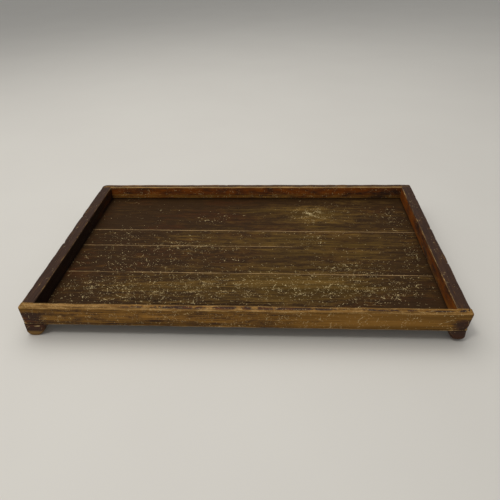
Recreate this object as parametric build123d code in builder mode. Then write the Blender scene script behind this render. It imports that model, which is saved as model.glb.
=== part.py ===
"""Wooden serving tray: four lacquered rails, a bed of four planks, two battens and four corner feet.

Millimetres. +Z is up, +X runs along the tray's length and -Y is its front.
The origin is on the surface that the feet stand on, under the middle of the tray.
"""

import os

from build123d import *

# Overall size
LENGTH = 560.0
DEPTH = 360.0

# Rails
RAIL_HEIGHT = 26.5
LONG_RAIL_THICKNESS = 11.0
END_RAIL_THICKNESS = 16.0
CORNER_RADIUS = 7.0
TOP_ARRIS_RADIUS = 1.8
LOWER_ARRIS_RADIUS = 0.9

# Lapped dovetails that join each end rail to the two long rails
LAP = 3.5
TAIL_COUNT = 2
TAIL_ROOT_WIDTH = 5.2
TAIL_TIP_WIDTH = 7.4
GLUE_LINE = 0.05

# Rebate in the underside of the rails, which the bed of planks fills
LONG_REBATE = 4.5
END_REBATE = 6.0
BED_CLEARANCE = 0.2

# Planks, named from the front of the tray to its back, with their widths halfway along the tray.
# The back one takes what width is left.
PLANK_THICKNESS = 4.2
FRONT_PLANK_WIDTH = 104.5
THIRD_PLANK_WIDTH = 72.5
SECOND_PLANK_WIDTH = 47.5
# How far each seam, from the front one back, drifts towards the front from its left end to its right end
SEAM_DRIFTS = [3.5, 4.0, 6.0]
SEAM_GAP = 0.15
SEAM_CHAMFER = 0.45
TONGUE_LENGTH = 3.0
TONGUE_THICKNESS = 1.4
TONGUE_CLEARANCE = 0.1

# Battens under the planks
BATTEN_WIDTH = 22.0
BATTEN_THICKNESS = 7.0
BATTEN_SETBACK = 14.0
BATTEN_END_BEVEL = 4.0
BATTEN_OFFSET = 150.0

# Corner feet: the same curved profile from the front and from the side
FOOT_HEIGHT = 19.0
FOOT_WIDTH = 27.0
FOOT_INSET = 1.2
FOOT_CORNER_RADIUS = 10.0
FOOT_TOE = 14.0
FOOT_OUTER_RADIUS = 7.0
FOOT_INNER_RADIUS = 6.0

# Foot dowels
DOWEL_RADIUS = 2.5
DOWEL_LENGTH = 16.0
DOWEL_END_CHAMFER = 0.6
DOWEL_FROM_END = 6.0
DOWEL_BEHIND_RAIL = 5.5
DOWEL_CLEARANCE = 0.05
DOWEL_END_ROOM = 0.5

# Nails, all driven up from below
NAIL_RADIUS = 0.8
NAIL_HEAD_RADIUS = 2.0
NAIL_HEAD_THICKNESS = 0.9
NAIL_POINT = 2.0
NAIL_CLEARANCE = 0.05
NAIL_END_ROOM = 0.3
PLANK_NAIL_LENGTH = 15.0
BATTEN_NAIL_COVER = 0.6
EDGE_NAIL_COUNT = 5
EDGE_NAIL_MARGIN = 60.0

# Levels and places that follow from the sizes above
RAIL_BASE = FOOT_HEIGHT
FLOOR_TOP = RAIL_BASE + PLANK_THICKNESS
WELL_LENGTH = LENGTH - 2 * END_RAIL_THICKNESS
WELL_DEPTH = DEPTH - 2 * LONG_RAIL_THICKNESS
BED_LENGTH = WELL_LENGTH + 2 * END_REBATE
BED_DEPTH = WELL_DEPTH + 2 * LONG_REBATE
TAIL_LENGTH = LONG_RAIL_THICKNESS - LAP
PLANK_LENGTH = BED_LENGTH - 2 * BED_CLEARANCE
BED_FRONT = -BED_DEPTH / 2 + BED_CLEARANCE
BED_BACK = BED_DEPTH / 2 - BED_CLEARANCE
SEAM_MIDDLES = [
    BED_FRONT + FRONT_PLANK_WIDTH,
    BED_FRONT + FRONT_PLANK_WIDTH + THIRD_PLANK_WIDTH,
    BED_FRONT + FRONT_PLANK_WIDTH + THIRD_PLANK_WIDTH + SECOND_PLANK_WIDTH,
]
# A line along the bed is the pair of its Y at the left and at the right end of the planks
SEAMS = [(middle + drift / 2, middle - drift / 2) for middle, drift in zip(SEAM_MIDDLES, SEAM_DRIFTS)]
BED_EDGES = [(BED_FRONT, BED_FRONT)] + SEAMS + [(BED_BACK, BED_BACK)]
# Front and back line of each plank, listed from the front of the tray
PLANK_SPANS = list(zip(BED_EDGES[:-1], BED_EDGES[1:]))
PLANK_NAMES = ["front_plank", "third_plank", "second_plank", "back_plank"]
CORNERS = [(-1, -1), (1, -1), (-1, 1), (1, 1)]
BATTEN_NAIL_REACH = PLANK_THICKNESS - BATTEN_NAIL_COVER
BATTEN_NAIL_LENGTH = BATTEN_THICKNESS + BATTEN_NAIL_REACH - NAIL_END_ROOM


def save(part, name):
    """Labels a finished piece and writes it to its own STEP file."""
    part.label = name
    export_step(part, f"parts/{name}.step")


def nail(length):
    """One nail that points up, with the underside of its flat head at z = 0."""
    with BuildPart() as one_nail:
        with BuildSketch(Plane.XZ):
            with BuildLine():
                Polyline(
                    (0, 0),
                    (NAIL_HEAD_RADIUS, 0),
                    (NAIL_HEAD_RADIUS, NAIL_HEAD_THICKNESS),
                    (NAIL_RADIUS, NAIL_HEAD_THICKNESS),
                    (NAIL_RADIUS, length - NAIL_POINT),
                    (0, length),
                    close=True,
                )
            make_face()
        revolve(axis=Axis.Z)
    return one_nail.part


def from_below(points, level):
    """Planes that face down at a level, so that a hole made on them is bored upwards."""
    return [Plane((x, y, level), x_dir=(1, 0, 0), z_dir=(0, 0, -1)) for x, y in points]


def nail_bores(points, level, depth):
    """Holes for nail shanks, cut from the part that is being built."""
    with Locations(*from_below(points, level)):
        Hole(radius=NAIL_RADIUS + NAIL_CLEARANCE, depth=depth)


def nail_seats(points, level, depth):
    """Holes with room for the nail's head, cut from the part that is being built."""
    with Locations(*from_below(points, level)):
        CounterBoreHole(
            radius=NAIL_RADIUS + NAIL_CLEARANCE,
            counter_bore_radius=NAIL_HEAD_RADIUS + NAIL_CLEARANCE,
            counter_bore_depth=NAIL_HEAD_THICKNESS,
            depth=depth,
        )


def line_at(line, x):
    """Y of a line along the bed at one place along the tray."""
    left, right = line
    return left + (right - left) * (x + PLANK_LENGTH / 2) / PLANK_LENGTH


def shifted(line, distance):
    """A line along the bed, moved towards the back."""
    return tuple(y + distance for y in line)


def strip(front, back):
    """Plan of what lies between two lines along the bed, as long as the planks."""
    end = PLANK_LENGTH / 2
    with BuildSketch() as outline:
        with BuildLine():
            Polyline((-end, front[0]), (end, front[1]), (end, back[1]), (-end, back[0]), close=True)
        make_face()
    return outline.sketch


def nail_row(x):
    """Nails across the bed at one place along the tray: two in each plank, a quarter of its width in."""
    return [
        (x, line_at(front, x) + (line_at(back, x) - line_at(front, x)) * share)
        for front, back in PLANK_SPANS
        for share in (0.25, 0.75)
    ]


def in_plank(points, span):
    """Those of the points that lie on one plank."""
    front, back = span
    return [(x, y) for x, y in points if line_at(front, x) < y < line_at(back, x)]


def tail_centres():
    """Heights of the dovetails, spread evenly over the rail above its rebate."""
    above_rebate = RAIL_HEIGHT - PLANK_THICKNESS
    return [FLOOR_TOP + above_rebate * (i + 0.5) / TAIL_COUNT for i in range(TAIL_COUNT)]


def tails(gap):
    """Outline of the dovetails at both ends of an end rail, seen from the side, each smaller by the gap."""
    shoulder = WELL_DEPTH / 2 - GLUE_LINE
    tip = WELL_DEPTH / 2 + TAIL_LENGTH - gap
    root_half = TAIL_ROOT_WIDTH / 2 - gap
    tip_half = TAIL_TIP_WIDTH / 2 - gap
    with BuildSketch() as outline:
        for end in (-1, 1):
            for height in tail_centres():
                with BuildLine():
                    Polyline(
                        (end * shoulder, height - root_half),
                        (end * tip, height - tip_half),
                        (end * tip, height + tip_half),
                        (end * shoulder, height + root_half),
                        close=True,
                    )
                make_face()
    return outline.sketch


# Where the nails and dowels go, seen from above
END_NAIL_X = LENGTH / 2 - END_RAIL_THICKNESS + END_REBATE / 2
EDGE_NAIL_Y = DEPTH / 2 - LONG_RAIL_THICKNESS + LONG_REBATE / 2
EDGE_NAIL_PITCH = (LENGTH - 2 * EDGE_NAIL_MARGIN) / (EDGE_NAIL_COUNT - 1)
EDGE_NAIL_XS = [-LENGTH / 2 + EDGE_NAIL_MARGIN + i * EDGE_NAIL_PITCH for i in range(EDGE_NAIL_COUNT)]
END_NAILS = nail_row(-END_NAIL_X) + nail_row(END_NAIL_X)
EDGE_NAILS = [(x, side * EDGE_NAIL_Y) for side in (-1, 1) for x in EDGE_NAIL_XS]
BATTEN_NAILS = nail_row(-BATTEN_OFFSET) + nail_row(BATTEN_OFFSET)
DOWEL_X = LENGTH / 2 - DOWEL_FROM_END
DOWEL_FROM_FACE = LONG_RAIL_THICKNESS + DOWEL_BEHIND_RAIL
DOWEL_Y = DEPTH / 2 - DOWEL_FROM_FACE
DOWELS = [(side * DOWEL_X, face * DOWEL_Y) for side, face in CORNERS]

TAILS = tails(GLUE_LINE)
SOCKETS = tails(0)

os.makedirs("parts", exist_ok=True)

# The frame before it is divided: rounded corners, worn arrises and the rebate for the bed
with BuildPart() as frame_blank:
    with BuildSketch(Plane.XY.offset(RAIL_BASE)):
        RectangleRounded(LENGTH, DEPTH, CORNER_RADIUS)
        Rectangle(WELL_LENGTH, WELL_DEPTH, mode=Mode.SUBTRACT)
    extrude(amount=RAIL_HEIGHT)
    fillet(frame_blank.faces().sort_by(Axis.Z)[-1].edges(), radius=TOP_ARRIS_RADIUS)
    underside = frame_blank.faces().sort_by(Axis.Z)[0]
    fillet(underside.outer_wire().edges(), radius=LOWER_ARRIS_RADIUS)
    with BuildSketch(Plane.XY.offset(RAIL_BASE)):
        Rectangle(BED_LENGTH, BED_DEPTH)
    extrude(amount=PLANK_THICKNESS, mode=Mode.SUBTRACT)


def end_rail(side):
    """Short rail at one end: dovetails at both ends, and a bore for each of its two foot dowels."""
    with BuildPart() as rail:
        with BuildSketch(Plane.YZ.offset(side * LENGTH / 2)):
            with Locations((0, RAIL_BASE + RAIL_HEIGHT / 2)):
                Rectangle(WELL_DEPTH - 2 * GLUE_LINE, RAIL_HEIGHT)
            add(TAILS)
        extrude(amount=-side * END_RAIL_THICKNESS)
        add(frame_blank.part, mode=Mode.INTERSECT)
        own_nails = [point for point in END_NAILS if point[0] * side > 0]
        nail_bores(own_nails, RAIL_BASE, PLANK_NAIL_LENGTH + NAIL_END_ROOM)
        own_dowels = [point for point in DOWELS if point[0] * side > 0]
        with Locations(*from_below(own_dowels, RAIL_BASE)):
            Hole(radius=DOWEL_RADIUS + DOWEL_CLEARANCE, depth=DOWEL_LENGTH / 2 + DOWEL_END_ROOM)
    return rail.part


def long_rail(face):
    """Front or back rail: it runs the full length and laps over the dovetails of the end rails."""
    with BuildPart() as rail:
        with BuildSketch(Plane.XY.offset(RAIL_BASE)):
            with Locations((0, face * (DEPTH - LONG_RAIL_THICKNESS) / 2)):
                Rectangle(LENGTH, LONG_RAIL_THICKNESS)
        extrude(amount=RAIL_HEIGHT)
        add(frame_blank.part, mode=Mode.INTERSECT)
        for side in (-1, 1):
            with BuildSketch(Plane.YZ.offset(side * LENGTH / 2)):
                add(SOCKETS)
            extrude(amount=-side * END_RAIL_THICKNESS, mode=Mode.SUBTRACT)
        own_nails = [point for point in EDGE_NAILS if point[1] * face > 0]
        nail_bores(own_nails, RAIL_BASE, PLANK_NAIL_LENGTH + NAIL_END_ROOM)
    return rail.part


def plank(span):
    """One plank of the bed, tongued along its back edge and grooved along its front edge at the seams."""
    front, back = span
    at_front_seam = front in SEAMS
    at_back_seam = back in SEAMS
    near = shifted(front, SEAM_GAP / 2) if at_front_seam else front
    far = shifted(back, -SEAM_GAP / 2) if at_back_seam else back
    middle = RAIL_BASE + PLANK_THICKNESS / 2
    groove_width = TONGUE_THICKNESS + 2 * TONGUE_CLEARANCE
    with BuildPart() as board:
        with BuildSketch(Plane.XY.offset(RAIL_BASE)):
            add(strip(near, far))
        extrude(amount=PLANK_THICKNESS)
        if at_back_seam:
            with BuildSketch(Plane.XY.offset(middle - TONGUE_THICKNESS / 2)):
                add(strip(far, shifted(far, TONGUE_LENGTH)))
            extrude(amount=TONGUE_THICKNESS)
        if at_front_seam:
            with BuildSketch(Plane.XY.offset(middle - groove_width / 2)):
                add(strip(near, shifted(near, TONGUE_LENGTH + TONGUE_CLEARANCE)))
            extrude(amount=groove_width, mode=Mode.SUBTRACT)
        top_edges = board.faces().sort_by(Axis.Z)[-1].edges().sort_by(Axis.Y)
        seam_edges = [top_edges[0]] * at_front_seam + [top_edges[-1]] * at_back_seam
        chamfer(seam_edges, length=SEAM_CHAMFER)
        nail_seats(in_plank(END_NAILS + EDGE_NAILS, span), RAIL_BASE, PLANK_THICKNESS)
        nail_bores(in_plank(BATTEN_NAILS, span), RAIL_BASE, BATTEN_NAIL_REACH)
    return board.part


def batten(side):
    """Cross batten under the planks, with bevelled ends and a seat for each of its nails."""
    with BuildPart() as bar:
        with BuildSketch(Plane.XY.offset(RAIL_BASE - BATTEN_THICKNESS)):
            with Locations((side * BATTEN_OFFSET, 0)):
                Rectangle(BATTEN_WIDTH, DEPTH - 2 * BATTEN_SETBACK)
        extrude(amount=BATTEN_THICKNESS)
        lower_ends = bar.faces().sort_by(Axis.Z)[0].edges().filter_by(Axis.X)
        chamfer(lower_ends, length=BATTEN_END_BEVEL)
        own_nails = [point for point in BATTEN_NAILS if point[0] * side > 0]
        nail_seats(own_nails, RAIL_BASE - BATTEN_THICKNESS, BATTEN_THICKNESS)
    return bar.part


def foot_profile():
    """Foot seen square on, its outer face at 0: upright outside, rounded toe, sloping inner flank."""
    with BuildSketch() as outline:
        with BuildLine():
            Polyline((0, FOOT_HEIGHT), (0, 0), (FOOT_TOE, 0), (FOOT_WIDTH, FOOT_HEIGHT), close=True)
        make_face()
        fillet(outline.vertices().sort_by_distance((0, 0))[0], radius=FOOT_OUTER_RADIUS)
        fillet(outline.vertices().sort_by_distance((FOOT_TOE, 0))[0], radius=FOOT_INNER_RADIUS)
    return outline.sketch


PROFILE = foot_profile()

# One foot with its outer faces on the planes x = 0 and y = 0, standing on z = 0
with BuildPart() as foot_blank:
    with BuildSketch(Plane.XZ):
        add(PROFILE)
    extrude(amount=-FOOT_WIDTH)
    with BuildSketch(Plane.YZ):
        add(PROFILE)
    extrude(amount=FOOT_WIDTH, mode=Mode.INTERSECT)
    with BuildSketch(Plane.XY):
        with Locations((FOOT_WIDTH / 2, FOOT_WIDTH / 2)):
            RectangleRounded(FOOT_WIDTH, FOOT_WIDTH, FOOT_CORNER_RADIUS)
    extrude(amount=FOOT_HEIGHT, mode=Mode.INTERSECT)
    with Locations((DOWEL_FROM_END - FOOT_INSET, DOWEL_FROM_FACE - FOOT_INSET, FOOT_HEIGHT)):
        Hole(radius=DOWEL_RADIUS + DOWEL_CLEARANCE, depth=DOWEL_LENGTH / 2 + DOWEL_END_ROOM)


def foot(side, face):
    """The foot blank set under one corner of the frame, mirrored so that its upright faces look outwards."""
    with BuildPart() as block:
        with Locations((-LENGTH / 2 + FOOT_INSET, -DEPTH / 2 + FOOT_INSET)):
            add(foot_blank.part)
        if side > 0:
            mirror(about=Plane.YZ, mode=Mode.REPLACE)
        if face > 0:
            mirror(about=Plane.XZ, mode=Mode.REPLACE)
    return block.part


save(long_rail(-1), "front_rail")
save(long_rail(1), "back_rail")
save(end_rail(-1), "left_rail")
save(end_rail(1), "right_rail")
for board_name, board_span in zip(PLANK_NAMES, PLANK_SPANS):
    save(plank(board_span), board_name)
save(batten(-1), "left_batten")
save(batten(1), "right_batten")
for corner_side, corner_face in CORNERS:
    face_name = "front" if corner_face < 0 else "back"
    side_name = "left" if corner_side < 0 else "right"
    save(foot(corner_side, corner_face), f"{face_name}_{side_name}_foot")

# Fasteners: each kind is one node of separate solids
plank_nail = nail(PLANK_NAIL_LENGTH)
with BuildPart() as plank_nails:
    with Locations(*[(x, y, RAIL_BASE) for x, y in END_NAILS + EDGE_NAILS]):
        add(plank_nail)
save(plank_nails.part, "plank_nails")

batten_nail = nail(BATTEN_NAIL_LENGTH)
with BuildPart() as batten_nails:
    with Locations(*[(x, y, RAIL_BASE - BATTEN_THICKNESS) for x, y in BATTEN_NAILS]):
        add(batten_nail)
save(batten_nails.part, "batten_nails")

with BuildPart() as foot_dowels:
    with Locations(*[(x, y, RAIL_BASE) for x, y in DOWELS]):
        Cylinder(DOWEL_RADIUS, DOWEL_LENGTH)
    dowel_ends = foot_dowels.edges().filter_by(GeomType.CIRCLE)
    chamfer(dowel_ends, length=DOWEL_END_CHAMFER)
save(foot_dowels.part, "foot_dowels")
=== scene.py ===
# %% [markdown]
# # A worn wooden serving tray
#
# The tray is four lacquered rails round a bed of four planks, on short corner feet. The joiner's
# drawing of it, the frame, is loaded first, and every place in this lesson is read from it. Decades of
# hands, cups and cloths are what makes the real tray look the way it does, so most of the lesson is
# about wear: where lacquer is rubbed thin, where an edge is bare, where a knock took a chip out.
#
# Each new piece is a surface worked out with numpy as whole arrays. While its points are worked out, so
# is how worn the wood is at each of them, because the same numbers decide both.

# %% Load the frame
import math

import bpy
import numpy as np
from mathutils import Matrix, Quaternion, Vector


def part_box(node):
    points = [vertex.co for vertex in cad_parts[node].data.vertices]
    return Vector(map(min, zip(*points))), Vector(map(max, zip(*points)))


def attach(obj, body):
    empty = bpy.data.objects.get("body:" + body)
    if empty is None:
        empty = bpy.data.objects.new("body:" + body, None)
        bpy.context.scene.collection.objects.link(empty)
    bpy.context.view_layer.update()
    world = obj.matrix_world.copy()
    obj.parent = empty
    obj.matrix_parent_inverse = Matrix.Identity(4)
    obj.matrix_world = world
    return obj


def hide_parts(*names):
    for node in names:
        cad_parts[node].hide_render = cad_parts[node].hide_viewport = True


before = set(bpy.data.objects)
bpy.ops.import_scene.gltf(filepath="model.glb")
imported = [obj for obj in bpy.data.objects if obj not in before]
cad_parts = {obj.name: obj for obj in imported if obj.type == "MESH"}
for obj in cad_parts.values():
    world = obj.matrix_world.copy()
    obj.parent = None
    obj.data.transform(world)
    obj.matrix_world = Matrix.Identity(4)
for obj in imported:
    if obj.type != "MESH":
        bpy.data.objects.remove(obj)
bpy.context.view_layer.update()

MM = 0.001

# %% [markdown]
# ## Levels and places
#
# Four levels matter: the table at zero, the underside of the rails, the top of the planks and the top of
# the rails. Seen from above, the rails' outer faces make one rectangle and their inner faces another.

# %% Read the levels and places from the frame
front_rail_low, front_rail_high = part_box("front_rail")
BASE, TOP = front_rail_low.z, front_rail_high.z
END_X, FACE_Y = front_rail_high.x, -front_rail_low.y
WELL_X, WELL_Y = -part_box("left_rail")[1].x, -front_rail_high.y
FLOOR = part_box("front_plank")[1].z
BED_X, BED_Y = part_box("front_plank")[1].x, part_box("back_plank")[1].y
print("rails", round((TOP - BASE) / MM, 1), "mm high, planks", round((FLOOR - BASE) / MM, 1), "mm thick")

# %% [markdown]
# ## Smooth randomness
#
# Hand-worn wood is never straight and never regular. One function gives all the unevenness that is shaped
# into the pieces: a lattice of random heights, one unit apart, blended so that there are no corners. It
# takes whole arrays, and a seed makes each use different but the same in every run.

# %% Smooth random field
LATTICE = 64


def unevenness(u, v, seed):
    """Smooth field between -1 and 1. Between four lattice heights a, b, c, d it is the bilinear blend,
    with each share t replaced by t * t * (3 - 2 * t) so that the slope is zero at every lattice point."""
    heights = np.random.default_rng(seed).uniform(-1, 1, (LATTICE, LATTICE))
    u, v = np.broadcast_arrays(u, v)
    i, j = np.floor(u).astype(int), np.floor(v).astype(int)
    s, t = u - i, v - j
    s, t = s * s * (3 - 2 * s), t * t * (3 - 2 * t)
    i, j = i % LATTICE, j % LATTICE
    i_next, j_next = (i + 1) % LATTICE, (j + 1) % LATTICE
    near = heights[i, j] * (1 - s) + heights[i_next, j] * s
    far = heights[i, j_next] * (1 - s) + heights[i_next, j_next] * s
    return near * (1 - t) + far * t


def step(x, low, high):
    """0 below low, 1 above high, and a smooth rise between them."""
    t = np.clip((x - low) / (high - low), 0, 1)
    return t * t * (3 - 2 * t)


def bell(x, middle, width):
    """1 at the middle, falling away on both sides as exp(-(distance / width) squared)."""
    return np.exp(-(((x - middle) / width) ** 2))


# %% [markdown]
# ## From sections to a closed piece
#
# A rail, a plank and a foot are the same kind of surface: a closed section carried along a path. All the
# points are one array of shape (stations, points round the section, 3). The faces join each point to the
# next one round and the next one along, and one flat face closes each end. The volume tells which way the
# faces point: if it comes out negative, they are turned round.
#
# What the shader needs to know is stored at the points as well: where each point is along and across the
# grain, in metres, and how rubbed, bare, chipped, cracked, red or raw the wood is there, and how dark it is
# with dirt or with painted shade.

# %% Build a piece from its sections
SHARP_ANGLE = math.radians(38)
# One fact darkens the wood both for real dirt and for painted shade, on the left rail's well wall and on the
# tops of the feet
FACTS = ("rubbed", "arris", "chips", "crack", "dirt", "red", "raw")


def facts_at(along, across, board, **known):
    """The facts at every point. Each board has its own number, so that no two show the same grain, and a
    fact that isn't known is zero."""
    grain = np.stack(np.broadcast_arrays(along, across, board), axis=-1)
    zero = np.zeros(grain.shape[:2])
    return {"grain": grain} | {fact: known.get(fact, 0) + zero for fact in FACTS}


def shell_faces(points, first):
    """The faces of one closed shell, whose points are numbered from the given first number."""
    stations, around = points.shape[:2]
    index = np.arange(stations * around).reshape(stations, around)
    here, beside = index[:-1], np.roll(index, -1, axis=1)[:-1]
    ahead, across = index[1:], np.roll(index, -1, axis=1)[1:]
    quads = np.stack([here, beside, across, ahead], axis=-1).reshape(-1, 4)
    a, b, c, d = (points.reshape(-1, 3)[quads[:, corner]] for corner in range(4))
    volume = np.einsum("ij,ij->i", a, np.cross(b, c) + np.cross(c, d)).sum()
    faces = (quads + first).tolist() + [(index[0][::-1] + first).tolist(), (index[-1] + first).tolist()]
    return [face[::-1] for face in faces] if volume < 0 else faces


def closed_piece(name, *shells):
    """One mesh object from shells, each an array of closed sections and its facts, an array for each."""
    corners, faces = [], []
    for points, _ in shells:
        faces += shell_faces(points, sum(len(earlier) for earlier in corners))
        corners.append(points.reshape(-1, 3))
    mesh = bpy.data.meshes.new(name)
    mesh.from_pydata(np.concatenate(corners).tolist(), [], faces)
    for fact in ("grain",) + FACTS:
        kind, field = ("FLOAT_VECTOR", "vector") if fact == "grain" else ("FLOAT", "value")
        values = np.concatenate([facts[fact].ravel() for _, facts in shells]).astype(np.float32)
        mesh.attributes.new(fact, kind, "POINT").data.foreach_set(field, values)
    mesh.polygons.foreach_set("use_smooth", np.ones(len(mesh.polygons), dtype=bool))
    mesh.update()
    mesh.set_sharp_from_angle(angle=SHARP_ANGLE)
    piece = bpy.data.objects.new(name, mesh)
    bpy.context.scene.collection.objects.link(piece)
    print(name, len(mesh.polygons), "faces")
    return piece


def as_piece_of_tray(piece, node, material):
    """Gives the piece its material, hangs it on the tray's root body and hides the part of the frame that it
    stands for.
    """
    piece.data.materials.append(material)
    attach(piece, "root")
    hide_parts(node)


# %% [markdown]
# ## Laying out a shader
#
# A finish is a network of small steps. These short hands each add one step to the network and hand back
# its output, so that a finish reads as a few lines of arithmetic.

# %% Short hands for shader steps
COLOUR, VALUE, VECTOR = "NodeSocketColor", "NodeSocketFloat", "NodeSocketVector"


class Steps:
    """Adds steps to one node tree. An input is either a number or colour, or the output of another step."""

    def __init__(self, tree):
        self.tree = tree

    def add(self, kind, inputs=None, output=0, **settings):
        node = self.tree.nodes.new("ShaderNode" + kind)
        for name, value in settings.items():
            setattr(node, name, value)
        for key, value in (inputs or {}).items():
            self.feed(value, node.inputs[key])
        return node.outputs[output]

    def feed(self, value, socket):
        if isinstance(value, bpy.types.NodeSocket):
            self.tree.links.new(value, socket)
        else:
            socket.default_value = value

    def math(self, operation, *values):
        return self.add("Math", dict(enumerate(values)), operation=operation)

    def vectors(self, operation, a, b):
        return self.add("VectorMath", {0: a, 1: b}, operation=operation)

    def sum(self, a, b):
        return self.math("ADD", a, b)

    def product(self, a, b):
        return self.math("MULTIPLY", a, b)

    def larger(self, a, b):
        return self.math("MAXIMUM", a, b)

    def rest(self, a):
        """One minus a."""
        return self.math("SUBTRACT", 1.0, a)

    def weighted(self, start, *shares):
        """A start plus each pattern times its share, from pairs of a pattern and a share."""
        for pattern, share in shares:
            start = self.sum(start, self.product(pattern, share))
        return start

    def around(self, a, strength):
        """A pattern of 0 to 1 made into a push of up to half the strength either way."""
        return self.product(self.sum(a, -0.5), strength)

    def smooth(self, a, low, high):
        """0 below low, 1 above high, and a smooth rise between."""
        return self.add("MapRange", {0: a, 1: low, 2: high}, interpolation_type="SMOOTHSTEP")

    def mix(self, share, a, b):
        """Colour a at share 0 and colour b at share 1."""
        return self.add("Mix", {0: share, 6: a, 7: b}, output=2, data_type="RGBA")

    def tint(self, colour, value):
        """A colour made darker or lighter by a value around 1."""
        return self.add("VectorMath", {"Vector": colour, "Scale": value}, operation="SCALE")

    def noise(self, vector, sizes, detail=3.0, roughness=0.55):
        """Cloudy pattern of 0 to 1 whose blots have about these sizes, in metres."""
        inputs = {"Vector": self.vectors("MULTIPLY", vector, tuple(1 / size for size in sizes))}
        return self.add("TexNoise", inputs | {"Scale": 1.0, "Detail": detail, "Roughness": roughness})

    def fact(self, name, output=2):
        """What was stored at the points of the piece under this name."""
        return self.add("Attribute", output=output, attribute_name=name)


def new_group(name, inputs, outputs):
    """An empty node group with named inputs and outputs: the steps, its input sockets, and its end."""
    group = bpy.data.node_groups.new(name, "ShaderNodeTree")
    for socket_name, socket_type, value in inputs:
        socket = group.interface.new_socket(socket_name, in_out="INPUT", socket_type=socket_type)
        if value is not None:
            socket.default_value = value
    for socket_name, socket_type in outputs:
        group.interface.new_socket(socket_name, in_out="OUTPUT", socket_type=socket_type)
    start = group.nodes.new("NodeGroupInput")
    end = group.nodes.new("NodeGroupOutput")
    return Steps(group), start.outputs, end.inputs


def place_group(steps, group, inputs):
    """Puts a finished group into another tree and returns its outputs."""
    node = steps.tree.nodes.new("ShaderNodeGroup")
    node.node_tree = group
    for key, value in inputs.items():
        steps.feed(value, node.inputs[key])
    return node.outputs


def new_material(name):
    """A new material, the steps of its network and its shader."""
    material = bpy.data.materials.new(name)
    material.use_nodes = True
    return material, Steps(material.node_tree), material.node_tree.nodes["Principled BSDF"]


def coat(steps, shader, colour, roughness, height, relief, strength):
    """Puts a colour, a roughness and bumps of at most the relief on the shader."""
    bump = steps.add("Bump", {"Height": height, "Distance": relief, "Strength": strength})
    for socket, value in (("Base Color", colour), ("Roughness", roughness), ("Normal", bump)):
        steps.feed(value, shader.inputs[socket])


# %% [markdown]
# ## Wood fibre
#
# Straight-grained wood shows two things: thin fibres a millimetre or less across and several centimetres
# long, and broad soft bands where the growth rings run out at the surface. Both are cloudy noise stretched
# along the grain. The vector is in metres, along the grain first, so the sizes here are real ones.

# %% Group: wood fibre
FIBRE_SIZE = (70 * MM, 0.9 * MM, 1.0)
BAND_SIZE = (260 * MM, 14 * MM, 1.0)
FIBRE_CUT = (0.3, 0.7)

fibre, given, result = new_group(
    "wood fibre", [("Vector", VECTOR, None)], [("Streaks", VALUE), ("Bands", VALUE)]
)
fine = fibre.noise(given["Vector"], FIBRE_SIZE, detail=4.0, roughness=0.65)
broad = fibre.noise(given["Vector"], BAND_SIZE)
fibre.feed(fibre.smooth(fine, *FIBRE_CUT), result["Streaks"])
fibre.feed(fibre.smooth(broad, *FIBRE_CUT), result["Bands"])
WOOD_FIBRE = fibre.tree

# %% [markdown]
# ## Chips and scratches
#
# A knock or a drag takes the lacquer off in short strokes and specks that show pale wood. Voronoi cells
# share the surface out. Inside each cell one stroke lies at its own angle, with its own length and bend:
# a point is on the stroke when it is near enough to the cell's centre along it and across it. A cell only
# has a stroke when its own random number is below the amount asked for, so one number makes a patch thick
# or thin with chips. Lengths and widths are in cells.

# %% Group: strokes of bare wood
FULL_TURN = 2 * math.pi
STROKE_BEND = 2.4
SHORTEST_STROKE = 0.35
FAINTEST_STROKE = 0.4
STROKE_EDGE = (0.65, 1.0)

strokes, given, result = new_group(
    "strokes",
    [("Vector", VECTOR, None)] + [(name, VALUE, None) for name in ("Cell", "Length", "Width", "Amount")],
    [("Mask", VALUE)],
)
in_cells = strokes.tint(given["Vector"], strokes.math("DIVIDE", 1.0, given["Cell"]))
cells = strokes.add("TexVoronoi", {"Vector": in_cells, "Scale": 1.0}, voronoi_dimensions="2D").node.outputs
random = strokes.add("SeparateColor", {0: cells["Color"]}).node.outputs
from_centre = strokes.vectors("SUBTRACT", in_cells, cells["Position"])
own_angle = strokes.product(random[0], FULL_TURN)
turned = strokes.add("VectorRotate", {"Vector": from_centre, "Angle": own_angle}, rotation_type="Z_AXIS")
place = strokes.add("SeparateXYZ", {0: turned}).node.outputs
bend = strokes.product(strokes.product(place[0], place[0]), strokes.around(random[1], STROKE_BEND))
own_length = strokes.product(given["Length"], strokes.sum(random[1], SHORTEST_STROKE))
across_share = strokes.math("DIVIDE", strokes.math("ABSOLUTE", strokes.sum(place[1], bend)), given["Width"])
along_share = strokes.math("DIVIDE", strokes.math("ABSOLUTE", place[0]), own_length)
on_stroke = strokes.rest(strokes.smooth(strokes.larger(across_share, along_share), *STROKE_EDGE))
present = strokes.math("LESS_THAN", random[2], given["Amount"])
strength = strokes.weighted(FAINTEST_STROKE, (random[0], 1 - FAINTEST_STROKE))
strokes.feed(strokes.product(strokes.product(on_stroke, present), strength), result["Mask"])
STROKES = strokes.tree

# %% [markdown]
# ## Worn lacquer
#
# This is the finish of the whole tray. Old lacquer lies over the wood as a thin dark skin. Rubbing thins
# it until the golden wood shows through, first on the high fibres, so the border of a rubbed patch is
# ragged along the grain. Arrises lose it altogether. Chips cut through to pale wood. Dirt collects where a
# cloth doesn't reach, and the same dark layer paints shade on the left rail's well wall and on the top of
# each foot. Each fact stored at the points is pushed up and down by fine patterns and then cut
# off sharply, which turns a soft area into a ragged edge.
#
# The group hands out a colour, a roughness and a height. The shader itself stays in each material.

# %% Values of the worn lacquer
COATS = ("Lacquer colour", "Red colour", "Rubbed colour", "Edge colour", "Bare colour")
RAW_WOOD = (0.16, 0.10, 0.052)
# Colour of dirt, of cracks and of painted shade
DIRT_SHADE_AND_CRACK_COLOUR = (0.006, 0.0035, 0.002, 1)
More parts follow.
